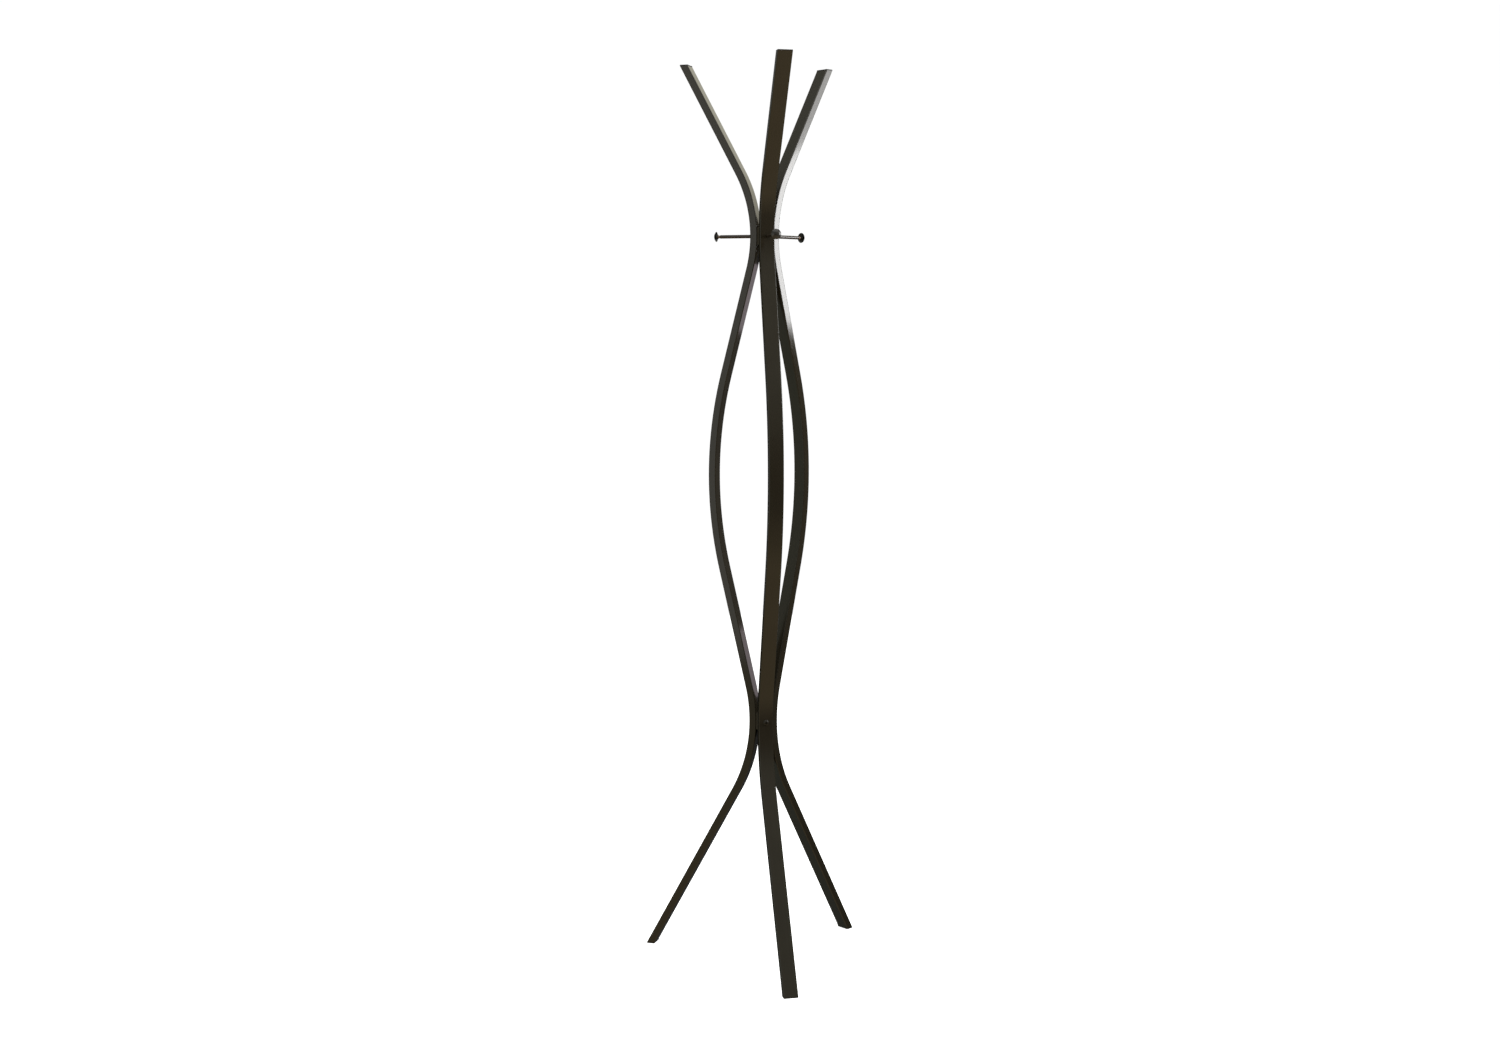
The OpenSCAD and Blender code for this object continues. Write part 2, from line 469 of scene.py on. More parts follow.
LEG_PAINT = PowderCoat("leg_powder_coat", (0.024, 0.020, 0.013), (0.020, 0.016, 0.010), 0.085)
HUB_PAINT = PowderCoat("hub_powder_coat", (0.036, 0.028, 0.018), (0.028, 0.021, 0.013), 0.24)
BOLT_PAINT = PowderCoat(
    "bolt_powder_coat", (0.020, 0.017, 0.012), (0.015, 0.012, 0.008), 0.34, specular=0.16
)
PEG_PAINT = PowderCoat("peg_powder_coat", (0.034, 0.024, 0.017), (0.026, 0.018, 0.012), 0.18)
CAP_PAINT = PowderCoat("cap_powder_coat", (0.026, 0.024, 0.020), (0.020, 0.018, 0.015), 0.2)
PLUG_PLASTIC = MouldedPlastic("plug_plastic", (0.010, 0.010, 0.010), (0.016, 0.016, 0.016))
PLATED_THREAD = BareThread("plated_thread", (0.40, 0.31, 0.26), (0.20, 0.15, 0.12))
FLOOR_PAPER = StudioPaper("white_paper")


# ----- Solids -----

# Faces that meet at less than this angle are shaded as one curved surface
SMOOTH_ANGLE = math.radians(32)
# Points that are closer than this are one point
MERGE = 0.0005 * MM
ROUND_STEPS = 64
CORNER_STEPS = 6
# A thread's depth and half the width of its crest, as shares of its pitch
THREAD_DEPTH = 0.61
HALF_CREST = 1 / 8
STEPS_PER_TURN = 32
# Shading follows the larger faces only
LARGE_FACE_WEIGHT = 100


def add_object(name: str, data: bpy.types.ID) -> bpy.types.Object:
    """Returns a new object that is linked to the scene."""
    made = bpy.data.objects.new(name, data)
    bpy.context.scene.collection.objects.link(made)
    return made


def arc(
    centre: tuple[float, float], radius: float, start: float, stop: float, steps: int
) -> list[tuple[float, float]]:
    """Places points along a circular arc.

    Args:
        centre: The arc's centre.
        radius: Its radius.
        start: The angle of its first point, from the first axis towards the second.
        stop: The angle of its last point.
        steps: How many straight pieces it has.

    Returns:
        The points, both ends included.
    """
    angles = [start + (stop - start) * step / steps for step in range(steps + 1)]
    return [(centre[0] + radius * math.cos(a), centre[1] + radius * math.sin(a)) for a in angles]


class Solid:
    """A closed mesh under construction. Rods and turned shapes lie along +X."""

    def __init__(self) -> None:
        """Starts with nothing."""
        self.bm = bmesh.new()

    @classmethod
    def lathe(cls, outline: Sequence[tuple[float, float]], steps: int = ROUND_STEPS) -> "Solid":
        """Turns an outline about the X axis.

        Args:
            outline: Pairs of a place along X and a radius, from one end of the outline to the other.
                An outline that starts and ends on the axis gives a closed shape, and so does one
                that ends where it starts.
            steps: The number of faces round the axis.

        Returns:
            The turned shape.
        """
        made = cls()
        bmesh.ops.spin(
            made.bm,
            geom=made._draw(outline),
            cent=(0, 0, 0),
            axis=(1, 0, 0),
            angle=2 * math.pi,
            steps=steps,
            use_merge=True,
        )
        return made.tidied()

    @classmethod
    def thread(cls, diameter: float, pitch: float, start: float, stop: float) -> "Solid":
        """Makes a threaded rod, whose ridge climbs as a right-handed screw's does.

        Args:
            diameter: The diameter over the thread.
            pitch: The distance between turns.
            start: Where the rod starts along X.
            stop: Where it ends.

        Returns:
            The rod, cut square at both ends.
        """
        made = cls()
        crest = diameter / 2
        root = crest - THREAD_DEPTH * pitch
        flat = HALF_CREST * pitch
        first = start - 2 * pitch
        tooth = [
            (first, root),
            (first + pitch / 2 - flat, crest),
            (first + pitch / 2 + flat, crest),
            (first + pitch, root),
        ]
        turns = math.ceil((stop - first) / pitch) + 1
        bmesh.ops.spin(
            made.bm,
            geom=made._draw(tooth),
            cent=(0, 0, 0),
            axis=(1, 0, 0),
            dvec=(pitch / STEPS_PER_TURN, 0, 0),
            angle=2 * math.pi * turns,
            steps=STEPS_PER_TURN * turns,
        )
        bmesh.ops.remove_doubles(made.bm, verts=made.bm.verts[:], dist=MERGE)
        made.trim(Vector((start, 0, 0)), Vector((-1, 0, 0)))
        made.trim(Vector((stop, 0, 0)), Vector((1, 0, 0)))
        return made.tidied()

    @classmethod
    def prism(cls, sides: int, radius: float, start: float, stop: float) -> "Solid":
        """Makes a straight prism along X on a regular outline.

        Args:
            sides: The outline's number of corners.
            radius: The distance from the axis to a corner.
            start: Where the prism starts along X.
            stop: Where it ends.

        Returns:
            The prism.
        """
        made = cls()
        bmesh.ops.create_cone(
            made.bm,
            cap_ends=True,
            segments=sides,
            radius1=radius,
            radius2=radius,
            depth=stop - start,
        )
        upright = Matrix.Rotation(math.pi / 2, 4, "Y")
        made.move(Matrix.Translation(((start + stop) / 2, 0, 0)) @ upright)
        return made

    @classmethod
    def plate(cls, depth: float, width: float, corner: float) -> "Solid":
        """Makes a flat rectangle with rounded corners, its middle at the origin.

        Args:
            depth: Its size along X.
            width: Its size along Y.
            corner: The radius of its corners.

        Returns:
            The rectangle, as a single face.
        """
        made = cls()
        grid = bmesh.ops.create_grid(made.bm, x_segments=1, y_segments=1, size=0.5)
        bmesh.ops.scale(made.bm, vec=(depth, width, 1), verts=grid["verts"])
        return made.round_corners(corner)

    def _draw(
        self, outline: Sequence[tuple[float, float]]
    ) -> list[bmesh.types.BMVert | bmesh.types.BMEdge]:
        """Draws an open line through pairs of a place along X and a radius, and returns it."""
        points = [self.bm.verts.new((along, 0, radius)) for along, radius in outline]
        return points + [self.bm.edges.new(pair) for pair in zip(points, points[1:])]

    def round_corners(self, width: float, segments: int = CORNER_STEPS) -> "Solid":
        """Rounds the corners of a flat shape, or cuts them off straight.

        Args:
            width: How far the rounding reaches from a corner.
            segments: The number of edges across it. A single one is a straight cut.

        Returns:
            The same shape.
        """
        bmesh.ops.bevel(
            self.bm,
            geom=self.bm.verts[:],
            offset=width,
            offset_type="OFFSET",
            segments=segments,
            profile=0.5,
            affect="VERTICES",
            material=-1,
        )
        return self

    def draw_up(self, height: float) -> "Solid":
        """Draws a flat shape up into a block, and returns the block."""
        drawn = bmesh.ops.extrude_face_region(self.bm, geom=self.bm.faces[:])["geom"]
        top = [part for part in drawn if isinstance(part, bmesh.types.BMVert)]
        bmesh.ops.translate(self.bm, vec=(0, 0, height), verts=top)
        return self

    def trim(self, point: Vector, away: Vector) -> "Solid":
        """Cuts off all that lies beyond a plane, and closes the cut.

        Args:
            point: A point of the plane.
            away: The direction in which the mesh is removed.

        Returns:
            The same solid.
        """
        whole = self.bm.verts[:] + self.bm.edges[:] + self.bm.faces[:]
        cut = bmesh.ops.bisect_plane(
            self.bm, geom=whole, dist=MERGE, plane_co=point, plane_no=away, clear_outer=True
        )
        rim = [part for part in cut["geom_cut"] if isinstance(part, bmesh.types.BMEdge)]
        bmesh.ops.contextual_create(self.bm, geom=rim)
        return self

    def move(self, matrix: Matrix) -> "Solid":
        """Moves or turns the whole solid.

        Args:
            matrix: The move.

        Returns:
            The same solid.
        """
        bmesh.ops.transform(self.bm, matrix=matrix, verts=self.bm.verts[:])
        return self

    def copy(self) -> "Solid":
        """Returns a copy of the solid."""
        made = Solid()
        made.bm.free()
        made.bm = self.bm.copy()
        return made

    def tidied(self) -> "Solid":
        """Joins points that coincide and turns all faces outwards.

        Returns:
            The same solid.
        """
        bmesh.ops.remove_doubles(self.bm, verts=self.bm.verts[:], dist=MERGE)
        bmesh.ops.dissolve_degenerate(self.bm, edges=self.bm.edges[:], dist=MERGE)
        bmesh.ops.recalc_face_normals(self.bm, faces=self.bm.faces[:])
        return self

    def sharp_edges(self) -> list[bmesh.types.BMEdge]:
        """Returns the edges whose two faces meet at more than the smooth angle."""
        return [
            edge
            for edge in self.bm.edges
            if len(edge.link_faces) == 2 and edge.calc_face_angle() > SMOOTH_ANGLE
        ]

    def round_edges(self, width: float, segments: int = 3) -> "Solid":
        """Rounds every sharp edge.

        Args:
            width: How far the rounding reaches from the edge.
            segments: The number of faces across it.

        Returns:
            The same solid.
        """
        bmesh.ops.bevel(
            self.bm,
            geom=self.sharp_edges(),
            offset=width,
            offset_type="OFFSET",
            segments=segments,
            profile=0.5,
            affect="EDGES",
            clamp_overlap=True,
            material=-1,
        )
        return self

    def _stand_in(self) -> bpy.types.Object:
        """Returns a scene object that holds the solid while another works on it."""
        mesh = bpy.data.meshes.new("stand_in")
        self.bm.to_mesh(mesh)
        return add_object("stand_in", mesh)

    def combine(self, other: "Solid", how: Combine) -> "Solid":
        """Cuts another solid away from this one, or joins it on.

        Args:
            other: The other solid, which is used up.
            how: Whether it is cut away or joined on.

        Returns:
            The same solid, changed.
        """
        body, tool = self._stand_in(), other._stand_in()
        modifier = body.modifiers.new("combine", "BOOLEAN")
        modifier.operation = how.value
        modifier.object = tool
        modifier.solver = "EXACT"
        result = body.evaluated_get(bpy.context.evaluated_depsgraph_get())
        self.bm.clear()
        self.bm.from_mesh(result.to_mesh())
        result.to_mesh_clear()
        for used in (body, tool):
            mesh = used.data
            bpy.data.objects.remove(used)
            bpy.data.meshes.remove(mesh)
        other.bm.free()
        return self

    def finish(self, name: str, node: str, materials: Sequence[bpy.types.Material]) -> None:
        """Turns the solid into a piece of the rack that stands for a CAD node.

        Args:
            name: The piece's name.
            node: The CAD node that it stands for.
            materials: The materials that its faces refer to.
        """
        mesh = bpy.data.meshes.new(name)
        for face in self.bm.faces:
            face.smooth = True
        self.bm.to_mesh(mesh)
        self.bm.free()
        mesh.set_sharp_from_angle(angle=SMOOTH_ANGLE)
        for material in materials:
            mesh.materials.append(material)
        piece = add_object(name, mesh)
        weighted = piece.modifiers.new("even_shading", "WEIGHTED_NORMAL")
        weighted.mode = "FACE_AREA"
        weighted.weight = LARGE_FACE_WEIGHT
        weighted.keep_sharp = True
        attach(piece, BODY)
        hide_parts(node)
        slot_of(node)
        log.info("%s: %d faces", name, len(mesh.polygons))


def slot_of(node: str) -> str:
    """Returns the material slot that the record gives a CAD node."""
    return next(
        part["material_slot"] for part in frame["record"]["subparts"] if part["node"] == node
    )


# ----- The rack's plan -----


def rise(half_width: float, radius: float) -> float:
    """Works out how deep an arc is.

    Args:
        half_width: Half of the arc's chord.
        radius: The arc's radius.

    Returns:
        The distance from the middle of the chord to the arc.
    """
    return radius - math.sqrt(radius**2 - half_width**2)


@dataclass(frozen=True)
class Plan:
    """Places that the whole rack shares, read from the frame."""

    axis: Vector
    foot_reach: float
    height: float
    lower_waist: float
    upper_waist: float

    @classmethod
    def from_frame(cls) -> "Plan":
        """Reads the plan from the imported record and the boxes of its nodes.

        Returns:
            The plan.
        """
        mounts = {mount["name"]: Vector(mount["pos_m"]) for mount in frame["record"]["mounts"]}
        foot_reach = mounts["foot_right"].x / math.cos(Side.RIGHT.value)
        low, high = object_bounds()
        return cls(
            axis=Vector((0, mounts["foot_front"].y + foot_reach, 0)),
            foot_reach=foot_reach,
            height=high.z - low.z,
            lower_waist=sum(corner.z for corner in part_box("lower_hub")) / 2,
            upper_waist=sum(corner.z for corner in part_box("upper_hub")) / 2,
        )

    def turn(self, side: Side) -> Matrix:
        """Returns the move that takes a piece from a leg's own plane to its place on the rack."""
        return Matrix.Translation(self.axis) @ Matrix.Rotation(side.value, 4, "Z")

    def reach_of(self, front_node: str) -> tuple[float, float]:
        """Returns the nearest and the furthest distance of a front node from the rack's axis."""
        low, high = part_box(front_node)
        return self.axis.y - high.y, self.axis.y - low.y


def on_each_leg(
    plan: Plan, own: Solid, name: str, node: str, materials: Sequence[bpy.types.Material]
) -> None:
    """Sets a copy of a solid at each leg and finishes it.

    Args:
        plan: The rack's plan.
        own: The solid in a leg's own plane.
        name: What the pieces' names hold after the side.
        node: What the names of their CAD nodes hold before the side.
        materials: The materials that their faces refer to.
    """
    for side in Side:
        placed = own.copy().move(plan.turn(side))
        placed.finish(f"{side.word}_{name}", f"{node}_{side.word}", materials)


@dataclass(frozen=True)
class Leg:
    """A leg: flat tube with three bends and four straight stretches.

    A leg is made in its own plane, with +X pointing away from the rack's axis. A heading is the
    angle between the tube and the vertical, positive where the tube leans outwards as it rises.
    """

    plan: Plan
    width: float = 30 * MM
    depth: float = 15 * MM
    wall: float = 1.2 * MM
    corner: float = 1.8 * MM
    least_corner: float = 0.5 * MM
    tip_reach: float = 166 * MM
    belly_reach: float = 106.5 * MM
    belly_height: float = 1006 * MM
    hub_flat: float = 11 * MM
    lower_bend: float = 315 * MM
    belly_bend: float = 830 * MM
    upper_bend: float = 265 * MM
    plug_flange: float = 2 * MM
    bolt_hole: float = 6.6 * MM
    peg_hole: float = 5.6 * MM
    bend_step: float = math.radians(1.2)

    @property
    def waist_reach(self) -> float:
        """Distance from the rack's axis to the middle of the tube at a waist."""
        return self.hub_flat + self.depth / 2

    @property
    def outer_face(self) -> float:
        """Distance from the rack's axis to the tube's outer face at a waist."""
        return self.hub_flat + self.depth

    def points(self) -> tuple[Vector, Vector, Vector, Vector, Vector]:
        """Returns the foot's cut, the three bends' centres and the tip's cut."""
        plan = self.plan
        return (
            Vector((plan.foot_reach, 0, self.plug_flange)),
            Vector((self.waist_reach + self.lower_bend, 0, plan.lower_waist)),
            Vector((self.belly_reach - self.belly_bend, 0, self.belly_height)),
            Vector((self.waist_reach + self.upper_bend, 0, plan.upper_waist)),
            Vector((self.tip_reach, 0, plan.height - self.plug_flange)),
        )

    def headings(self) -> tuple[float, float, float, float]:
        """Returns the headings of the four straight stretches, from the foot up."""
        foot, lower, belly, upper, tip = self.points()
        gaps = (lower - foot, belly - lower, upper - belly, tip - upper)
        leans = [math.atan2(gap.x, gap.z) for gap in gaps]
        turns = (
            -math.asin(self.lower_bend / gaps[0].length),
            math.asin((self.lower_bend + self.belly_bend) / gaps[1].length),
            -math.asin((self.belly_bend + self.upper_bend) / gaps[2].length),
            math.asin(self.upper_bend / gaps[3].length),
        )
        return tuple(lean + turn for lean, turn in zip(leans, turns))

    def end_depth(self, end: End) -> float:
        """Returns the depth of the tube's level cut at an end."""
        heading = self.headings()[0 if end is End.FOOT else -1]
        return self.depth / math.cos(heading)

    def _sweep(self, inset: float) -> Solid:
        """Sweeps the tube's outline along the leg, a little past both ends.

        Args:
            inset: How far the outline lies inside the tube's outside.

        Returns:
            The swept bar.
        """
        foot, lower, belly, upper, tip = self.points()
        headings = self.headings()
        overrun = 2 * self.depth
        corner = max(self.corner - inset, self.least_corner)
        made = Solid.plate(self.depth - 2 * inset, self.width - 2 * inset, corner)
        bm = made.bm
        ring = next(iter(bm.faces)).edges[:]
        start = foot - overrun * direction(headings[0])
        made.move(Matrix.Translation(start) @ Matrix.Rotation(headings[0], 4, "Y"))

        bends = (
            (lower, -self.lower_bend),
            (belly, self.belly_bend),
            (upper, -self.upper_bend),
        )
        here = start
        for (centre, radius), arriving, leaving in zip(bends, headings, headings[1:]):
            bend_start = centre + radius * outward(arriving)
            ring = extrude(bm, ring, bend_start - here)
            turn = leaving - arriving
            spun = bmesh.ops.spin(
                bm,
                geom=ring,
                cent=centre,
                axis=(0, 1, 0),
                angle=turn,
                steps=max(2, round(abs(turn) / self.bend_step)),
            )
            ring = [part for part in spun["geom_last"] if isinstance(part, bmesh.types.BMEdge)]
            here = centre + radius * outward(leaving)
        ring = extrude(bm, ring, tip + overrun * direction(headings[-1]) - here)
        bmesh.ops.contextual_create(bm, geom=ring)
        return made.tidied()

    def solid(self) -> Solid:
        """Makes the leg in its own plane.

        Returns:
            The drilled tube, cut level at both ends.
        """
        foot, *_, tip = self.points()
        made = self._sweep(0)
        made.trim(foot, Vector((0, 0, -1))).trim(tip, Vector((0, 0, 1))).tidied()
        made.combine(self._sweep(self.wall), Combine.CUT)
        reach = self.waist_reach + self.depth
        for diameter, height in (
            (self.bolt_hole, self.plan.lower_waist),
            (self.peg_hole, self.plan.upper_waist),
        ):
            drill = Solid.prism(ROUND_STEPS, diameter / 2, 0, reach)
            made.combine(drill.move(Matrix.Translation((0, 0, height))), Combine.CUT)
        return made

    def build(self) -> None:
        """Builds the three legs."""
        on_each_leg(self.plan, self.solid(), "leg_tube", "leg", [LEG_PAINT.material()])


def direction(heading: float) -> Vector:
    """Returns the unit vector along a heading, in a leg's own plane."""
    return Vector((math.sin(heading), 0, math.cos(heading)))


def outward(heading: float) -> Vector:
    """Returns the unit vector square to a heading, on the side away from the rack's axis."""
    return Vector((math.cos(heading), 0, -math.sin(heading)))


def extrude(
    bm: bmesh.types.BMesh, ring: list[bmesh.types.BMEdge], move: Vector
) -> list[bmesh.types.BMEdge]:
    """Draws a ring of edges out into a wall.

    Args:
        bm: The mesh.
        ring: The ring.
        move: The wall's length and direction.

    Returns:
        The ring at the wall's far end.
    """
    drawn = bmesh.ops.extrude_edge_only(bm, edges=ring)["geom"]
    points = [part for part in drawn if isinstance(part, bmesh.types.BMVert)]
    bmesh.ops.translate(bm, vec=move, verts=points)
    far = set(points)
    return [
        part
        for part in drawn
        if isinstance(part, bmesh.types.BMEdge) and far.issuperset(part.verts)
    ]


@dataclass(frozen=True)
class EndPlugs:
    """The plugs that close the ends of the legs, each a flange on a ribbed spigot."""

    leg: Leg
    spigot: float = 22 * MM
    core_gap: float = 1.6 * MM
    rib: float = 1.2 * MM
    ribs: int = 4
    fit: float = 0.05 * MM
    edge: float = 0.5 * MM
    rib_edge: float = 0.2 * MM

    def _block(self, depth: float, width: float, corner: float, low: float, high: float) -> Solid:
        """Makes an upright block with rounded corners.

        Args:
            depth: Its size along X.
            width: Its size along Y.
            corner: The radius of its upright edges.
            low: The height of its bottom.
            high: The height of its top.

        Returns:
            The block.
        """
        made = Solid.plate(depth, width, corner).move(Matrix.Translation((0, 0, low)))
        return made.draw_up(high - low).tidied()

    def solid(self, end: End) -> Solid:
        """Makes a plug, with the middle of the tube's cut at the origin.

        Args:
            end: The end of the leg that it closes.

        Returns:
            The plug, its flange outside the tube and its spigot inside.
        """
        leg = self.leg
        heading = leg.headings()[0 if end is End.FOOT else -1]
        bore_depth = leg.depth - 2 * leg.wall
        bore_width = leg.width - 2 * leg.wall
        corner = max(leg.corner - leg.wall, leg.least_corner)
        trim = 2 * self.core_gap
        spigot = self._block(bore_depth - trim, bore_width - trim, corner, -leg.depth, self.spigot)
        pitch = (self.spigot - self.rib) / self.ribs
        grip = 2 * self.fit
        for number in range(1, self.ribs + 1):
            low = number * pitch
            ring = self._block(bore_depth - grip, bore_width - grip, corner, low, low + self.rib)
            spigot.combine(ring.round_edges(self.rib_edge), Combine.JOIN)
        lean = Matrix.Rotation(end.value * heading, 4, "Y")
        stand = Matrix.Diagonal((1, 1, end.value, 1))
        spigot.move(stand @ lean)
        face = Vector((0, 0, end.value))
        spigot.trim(-leg.plug_flange / 2 * face, -face).tidied()
        low, high = sorted((0.0, -end.value * leg.plug_flange))
        flange = self._block(leg.end_depth(end), leg.width, leg.corner, low, high)
        return flange.round_edges(self.edge).combine(spigot, Combine.JOIN)

    def build(self) -> None:
        """Builds the six plugs."""
        foot, *_, tip = self.leg.points()
        for end, cut in ((End.FOOT, foot), (End.TIP, tip)):
            own = self.solid(end).move(Matrix.Translation(cut))
            kind = f"{end.name.lower()}_plug"
            on_each_leg(self.leg.plan, own, kind, kind, [PLUG_PLASTIC.material()])


@dataclass(frozen=True)
class Hubs:
    """The two three-sided blocks that the legs are pulled against."""

    leg: Leg
    corner_reach: float = 17.5 * MM
    edge: float = 0.6 * MM
    bolt_thread: float = 6 * MM
    peg_thread: float = 5 * MM
    web: float = 0.8 * MM
    saddle_steps: int = 720
    hole_steps: int = 48

    def solid(self, node: str, bend: float, thread: float) -> Solid:
        """Makes a hub in its place.

        Args:
            node: The hub's CAD node, which gives its height.
            bend: The radius of the legs' bend against it.
            thread: The diameter of its threaded holes.

        Returns:
            The hub.
        """
        low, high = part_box(node)
        half = (high.z - low.z) / 2
        saddle = bend + self.leg.depth / 2
        face = self.leg.hub_flat + rise(half, saddle)
        made = Solid()
        bmesh.ops.create_circle(made.bm, cap_ends=True, segments=3, radius=2 * face)
        made.move(Matrix.Rotation(self._corner_turn(made), 4, "Z"))
        half_corner = math.pi / 6
        made.round_corners((2 * face - self.corner_reach) / math.cos(half_corner), segments=1)
        made.draw_up(2 * half).move(Matrix.Translation((0, 0, -half)))
        made.tidied().round_edges(self.edge)
        bottom = thread / 2 / math.tan(math.pi / 3) + self.web
        for side in Side:
            turn = Matrix.Rotation(side.value, 4, "Z")
            roll = Matrix.Rotation(math.pi / 2, 4, "Z")
            hollow = Solid.prism(self.saddle_steps, saddle, -4 * face, 4 * face)
            hollow.move(turn @ Matrix.Translation((self.leg.hub_flat + saddle, 0, 0)) @ roll)
            made.combine(hollow, Combine.CUT)
            hole = Solid.prism(self.hole_steps, thread / 2, bottom, 2 * face)
            made.combine(hole.move(turn), Combine.CUT)
        centre = self.leg.plan.axis + Vector((0, 0, (low.z + high.z) / 2))
        return made.move(Matrix.Translation(centre))

    @staticmethod
    def _corner_turn(triangle: Solid) -> float:
        """Returns the turn that puts a triangle's corner opposite the front leg."""
        triangle.bm.verts.ensure_lookup_table()
        corner = triangle.bm.verts[0].co
        return math.pi / 2 - math.atan2(corner.y, corner.x)

    def build(self) -> None:
        """Builds both hubs."""
        for node, bend, thread in (
            ("lower_hub", self.leg.lower_bend, self.bolt_thread),
            ("upper_hub", self.leg.upper_bend, self.peg_thread),
        ):
            self.solid(node, bend, thread).finish(f"{node}_block", node, [HUB_PAINT.material()])


@dataclass(frozen=True)
class LowerBolts:
    """The button-head bolts at the lower waist."""

    leg: Leg
    thread: float = 6 * MM
    pitch: float = 1 * MM
    head: float = 12 * MM
    head_height: float = 3.2 * MM
    rim: float = 0.6 * MM
    socket: float = 4 * MM
    socket_depth: float = 2 * MM
    socket_sides: int = 6
    head_edge: float = 0.2 * MM
    dome_steps: int = 12

    def solid(self) -> Solid:
        """Makes a bolt in a leg's own plane.

        Returns:
            The bolt.
        """
        inner, outer = self.leg.plan.reach_of("lower_bolt_front")
        seat = outer - self.head_height
        crown = self.head_height - self.rim
        radius = ((self.head / 2) ** 2 + crown**2) / (2 * crown)
        half_angle = math.asin(self.head / 2 / radius)
        dome = arc((outer - radius, 0), radius, half_angle, 0, self.dome_steps)
        side = self.head / 2
        outline = [(seat, 0), (seat, side - self.head_edge), (seat + self.head_edge, side)]
        head = Solid.lathe(outline + dome[:-1] + [(outer, 0)])
        key = self.socket / math.sqrt(3)
        above = outer + self.head_height
        hollow = Solid.prism(self.socket_sides, key, outer - self.socket_depth, above)
        head.combine(hollow, Combine.CUT)
        shank = Solid.thread(self.thread, self.pitch, inner, seat + self.rim)
        head.combine(shank, Combine.JOIN)
        return head.move(Matrix.Translation((0, 0, self.leg.plan.lower_waist)))

    def build(self) -> None:
        """Builds the three bolts."""
        paint = BOLT_PAINT.material()
        on_each_leg(self.leg.plan, self.solid(), "button_bolt", "lower_bolt", [paint])


@dataclass(frozen=True)
class Pegs:
    """The coat pegs: a bar with a thread at each end. The caps' bosses start at boss_end."""

    leg: Leg
    boss_end: float
    bar: float = 7 * MM
    neck: float = 6 * MM
    neck_pitch: float = 1 * MM
    stud: float = 5 * MM
    stud_pitch: float = 0.8 * MM
    neck_length: float = 4.8 * MM
    edge: float = 0.35 * MM
    lap: float = 1 * MM
    paint_margin: float = 0.01 * MM

    def solid(self) -> Solid:
        """Makes a peg in a leg's own plane. Its bare thread takes the second material.

        Returns:
            The peg.
        """
        inner, outer = self.leg.plan.reach_of("peg_front")
        shoulder = self.leg.outer_face + rise(
            self.bar / 2, self.leg.upper_bend - self.leg.depth / 2
        )
        bar_end = self.boss_end - self.neck_length
        radius = self.bar / 2
        bar = Solid.lathe([(shoulder, 0), (shoulder, radius), (bar_end, radius), (bar_end, 0)])
        bar.round_edges(self.edge)
        stud = Solid.thread(self.stud, self.stud_pitch, inner, shoulder + self.lap)
        neck = Solid.thread(self.neck, self.neck_pitch, bar_end - self.lap, outer)
        bar.combine(stud, Combine.JOIN).combine(neck, Combine.JOIN)
        margin = self.paint_margin
        for face in bar.bm.faces:
            across = max(math.hypot(v.co.y, v.co.z) for v in face.verts)
            along = face.calc_center_median().x
            bare = along > bar_end + margin or along < shoulder - margin
            face.material_index = 1 if bare and across <= self.neck / 2 + MERGE else 0
        return bar.move(Matrix.Translation((0, 0, self.leg.plan.upper_waist)))

    def build(self) -> None:
        """Builds the three pegs."""
        materials = [PEG_PAINT.material(), PLATED_THREAD.material()]
        on_each_leg(self.leg.plan, self.solid(), "coat_peg", "peg", materials)


@dataclass(frozen=True)
class PegCaps:
    """The domed caps on the pegs, each with a boss that the peg's neck screws into."""

    leg: Leg
    rim: float = 20.5 * MM
    dome: float = 4.3 * MM
    wall: float = 0.9 * MM
    boss: float = 9 * MM
    bore: float = 6 * MM
    bore_end_gap: float = 0.3 * MM
    lip: float = 0.25 * MM
    outside_steps: int = 20
    inside_steps: int = 10

    @property
    def boss_end(self) -> float:
        """Distance from the rack's axis to the boss's inner end."""
        return self.leg.plan.reach_of("peg_cap_front")[0]

    def solid(self) -> Solid:
        """Makes a cap in a leg's own plane.

        Returns:
            The cap.
        """
        start, crown = self.leg.plan.reach_of("peg_cap_front")
        radius = ((self.rim / 2) ** 2 + self.dome**2) / (2 * self.dome)
        centre = (crown - radius, 0.0)
        rim_angle = math.asin(self.rim / 2 / radius)
        inside = radius - self.wall
        plane = crown - self.dome
        inner_rim_angle = math.acos((plane - centre[0]) / inside)
        boss_angle = math.asin(self.boss / 2 / inside)
        bore_bottom = crown - self.wall - self.bore_end_gap
        outline = [
            *arc(centre, radius, 0, rim_angle, self.outside_steps),
            *arc(centre, inside, inner_rim_angle, boss_angle, self.inside_steps),
            (start, self.boss / 2),
            (start, self.bore / 2),
            (bore_bottom, self.bore / 2),
            (bore_bottom, 0),
        ]
        made = Solid.lathe(outline)
        made.round_edges(self.lip)
        return made.move(Matrix.Translation((0, 0, self.leg.plan.upper_waist)))

    def build(self) -> None:
        """Builds the three caps."""
        paint = CAP_PAINT.material()
        on_each_leg(self.leg.plan, self.solid(), "domed_cap", "peg_cap", [paint])


# ----- The studio -----


